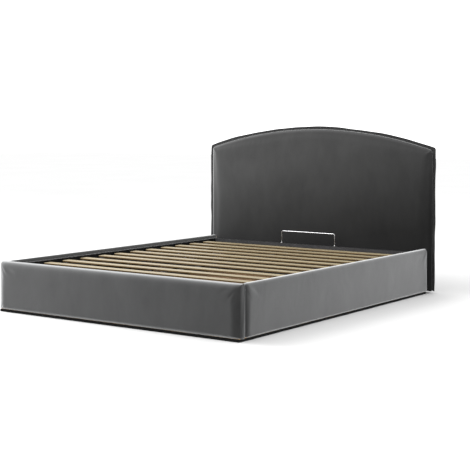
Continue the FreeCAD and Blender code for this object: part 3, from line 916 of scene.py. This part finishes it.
# %% Slat plywood
birch = Finish("birch_plywood", Roughness=0.55, Specular_IOR_Level=0.35)
fibre = birch.noise(26.0, (0.12, 6, 1.2), detail=8.0, roughness=0.62, distortion=0.2)
drift = birch.noise(3.0, (0.5, 2.2, 1), detail=2.0)
plies = birch.waves(110.0, (0, 0, 1), "Z", distortion=0.6)
tone = birch.sum((fibre, 0.55), (drift, 0.3), (plies, 0.15))
# The slats' sides take a darker ramp than their tops: partly the darker ply edges, partly painted shade that
# deepens the gaps between the slats.
top_face = birch.ramp(tone, (0.36, (0.19, 0.15, 0.085)), (0.5, (0.235, 0.195, 0.118)),
                      (0.64, (0.275, 0.235, 0.15)))
ply_edge_and_shade = birch.ramp(tone, (0.4, (0.075, 0.045, 0.014)), (0.6, (0.13, 0.083, 0.03)))
birch.blend_by_height(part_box("slat_02")[1].z, 1.6 * MM, ply_edge_and_shade, top_face)
birch.gloss(fibre, 0.45, 0.65)
birch.relief(fibre, 0.5 * MM)
dress(birch, *[name for name in nodes if name.startswith("slat_") and name[5:].isdigit()])

# %% Boards, battens and storage floor
pine = Finish("pine_batten", Roughness=0.65, Specular_IOR_Level=0.3)
rings_of_wood = pine.waves(9.0, (0.25, 2.5, 3.0), "Z", distortion=5.0)
fibre = pine.noise(40.0, (0.3, 5, 5), detail=6.0)
pine.colour(pine.sum((rings_of_wood, 0.35), (fibre, 0.65)),
            (0.3, (0.46, 0.30, 0.15)), (0.7, (0.72, 0.56, 0.35)))
pine.relief(fibre, 0.4 * MM)
dress(pine, "floor_ledge_foot", "floor_ledge_head", "floor_ledge_left", "floor_ledge_right", "floor_runner",
      "frame_rests", "headboard_batten_low", "headboard_batten_mid", "headboard_post_left",
      "headboard_post_right")

chips = Finish("particle_board", Roughness=0.8, Specular_IOR_Level=0.2)
flakes = chips.dots(260.0, (1, 1, 2.5))
chips.colour(chips.sum((flakes, 0.6), (chips.noise(90.0), 0.5)),
             (0.25, (0.52, 0.38, 0.22)), (0.7, (0.33, 0.22, 0.12)))
chips.relief(flakes, 0.6 * MM)
dress(chips, "foot_board", "side_board_left", "side_board_right", "headboard_panel")

fibreboard = Finish("fibreboard", Roughness=0.6, Specular_IOR_Level=0.3)
mesh_back = fibreboard.waves(160.0, (1, 1, 0), "X", distortion=0.4)
mesh_cross = fibreboard.waves(160.0, (1, 1, 0), "Y", distortion=0.4)
mottle = fibreboard.noise(55.0, detail=6.0)
fibreboard.colour(fibreboard.sum((mottle, 0.8), (mesh_back, 0.1), (mesh_cross, 0.1)),
                  (0.3, (0.13, 0.075, 0.04)), (0.7, (0.24, 0.15, 0.085)))
fibreboard.relief(fibreboard.sum((mesh_back, 0.5), (mesh_cross, 0.5), (mottle, 0.3)), 0.3 * MM)
dress(fibreboard, "floor_panel_left", "floor_panel_right")

# %% Steel and plastic
coat = Finish("black_powder_coat", Roughness=0.42, Specular_IOR_Level=0.5)
pebble = coat.noise(1400.0, detail=2.0)
coat.colour(coat.noise(30.0), (0.3, (0.010, 0.010, 0.011)), (0.7, (0.022, 0.022, 0.024)))
coat.gloss(pebble, 0.34, 0.55)
coat.relief(pebble, 0.08 * MM)
dress(coat, "frame_centre_beam", "frame_tube_cross", "frame_tube_foot", "frame_tube_head", "frame_tube_left",
      "frame_tube_right", "strut_cylinder_left", "strut_cylinder_right")

zinc = Finish("zinc_plate", Metallic=1.0, Roughness=0.35)
spangle = zinc.dots(140.0)
zinc.colour(zinc.sum((spangle, 0.6), (zinc.noise(18.0), 0.4)),
            (0.25, (0.42, 0.43, 0.45)), (0.75, (0.60, 0.61, 0.62)))
zinc.gloss(zinc.noise(60.0), 0.28, 0.48)
zinc.relief(spangle, 0.05 * MM)
dress(zinc, "corner_brackets", "hinge_arm_left", "hinge_arm_right", "hinge_plate_left", "hinge_plate_right")

bright = Finish("bright_steel", Metallic=1.0, Roughness=0.2)
brushing = bright.noise(900.0, (1, 0.05, 1), detail=3.0)
bright.colour(brushing, (0.3, (0.62, 0.62, 0.63)), (0.7, (0.80, 0.80, 0.81)))
bright.gloss(brushing, 0.14, 0.30)
bright.relief(brushing, 0.02 * MM)
dress(bright, "plate_screws", "hinge_pins", "strut_rod_left", "strut_rod_right", lining_staples)

chrome = Finish("chrome_wire", Metallic=1.0, Roughness=0.15)
drawn = chrome.noise(700.0, (0.05, 1, 1), detail=2.0)
chrome.colour(drawn, (0.3, (0.36, 0.36, 0.37)), (0.7, (0.46, 0.46, 0.47)))
chrome.gloss(drawn, 0.1, 0.22)
dress(chrome, "mattress_stop", stop_feet)

plastic = Finish("black_plastic", Roughness=0.5, Specular_IOR_Level=0.45)
grain = plastic.noise(1100.0, detail=2.0)
plastic.colour(plastic.noise(45.0), (0.3, (0.012, 0.012, 0.013)), (0.7, (0.026, 0.026, 0.028)))
plastic.gloss(grain, 0.42, 0.6)
plastic.relief(grain, 0.06 * MM)
dress(plastic, "slat_end_pads", "slat_centre_pads", "tube_end_plugs")

# %% Lining cloth and webbing
def felt_cloth(name, depth, sheen):
    """Thin bonded felt: black scaled by depth, with dotted bonds and loose fibres."""
    cloth = Finish(name, Roughness=0.85, Specular_IOR_Level=0.08, Sheen_Weight=sheen)
    bonds = cloth.dots(420.0)
    felt = cloth.noise(260.0, detail=6.0)
    cloth.colour(cloth.sum((felt, 0.8), (bonds, 0.2)), (0.3, [0.002 * depth] * 3), (0.7, [0.008 * depth] * 3))
    return cloth.relief(cloth.sum((bonds, 1.0), (felt, 0.4)), 0.4 * MM)


# The inner linings and the plinth take a copy of the same felt at about a third of the back lining's tone:
# black cloth, darkened further as painted shade inside the box and under the bed.
dress(felt_cloth("black_back_lining", 3.2, 0.12), back_lining)
dress(felt_cloth("black_inner_lining_and_shade", 1.0, 0.03), *linings, "base_plinth")

web = Finish("black_webbing", Roughness=0.7, Specular_IOR_Level=0.3, Sheen_Weight=0.3)
ribs = web.waves(330.0, (1, 0, 0), "X")
picks = web.waves(240.0, (0, 1, 1), "DIAGONAL", distortion=0.3)
web.colour(web.sum((ribs, 0.5), (picks, 0.5)), (0.25, (0.010, 0.010, 0.011)), (0.75, (0.04, 0.04, 0.042)))
web.relief(web.sum((ribs, 0.6), (picks, 0.4)), 0.4 * MM)
dress(web, strap)

# %% [markdown]
# ## Floor and light
# A pale floor under an even white sky gives the clean look of a catalogue page: the floor
# burns out to white, and only close to the bed does it darken. Velvet's sheen needs light from
# everywhere, so the sky does most of the work, and one large soft light from high on the left
# throws a gentle shadow to the right.

# %% Floor, sky and key light
paint = Finish("pale_floor", Roughness=0.9, Specular_IOR_Level=0.0)
paint.colour(paint.noise(0.7), (0.3, (0.545, 0.545, 0.545)), (0.7, (0.56, 0.56, 0.56)))
ground = np.linspace(-30, 30, 3)
floor_x, floor_y = np.meshgrid(ground, ground, indexing="ij")
points, faces = join_grids([(np.stack([floor_x, floor_y, 0 * floor_x], -1),)])
floor_mesh = bpy.data.meshes.new("floor")
floor_mesh.from_pydata(points.tolist(), [], faces.tolist())
floor = bpy.data.objects.new("floor", floor_mesh)
bpy.context.collection.objects.link(floor)
floor_mesh.materials.append(paint.material)

sky = bpy.data.worlds.new("sky")
sky.use_nodes = True
sky.node_tree.nodes["Background"].inputs["Color"].default_value = (1.0, 1.0, 1.0, 1.0)
sky.node_tree.nodes["Background"].inputs["Strength"].default_value = 1.8
bpy.context.scene.world = sky

lamp = bpy.data.lights.new("key", "AREA")
lamp.shape = "RECTANGLE"
lamp.size, lamp.size_y = 2.6, 2.6
lamp.energy = 200
key = bpy.data.objects.new("key", lamp)
key.location = (-2.6, -1.2, 3.2)
key.rotation_euler = (Vector((-0.4, 1.0, 0.8)) - key.location).to_track_quat("-Z", "Y").to_euler()
bpy.context.collection.objects.link(key)
bpy.context.scene.view_settings.view_transform = "Standard"
print("light: sky and one key light of", lamp.energy, "W")
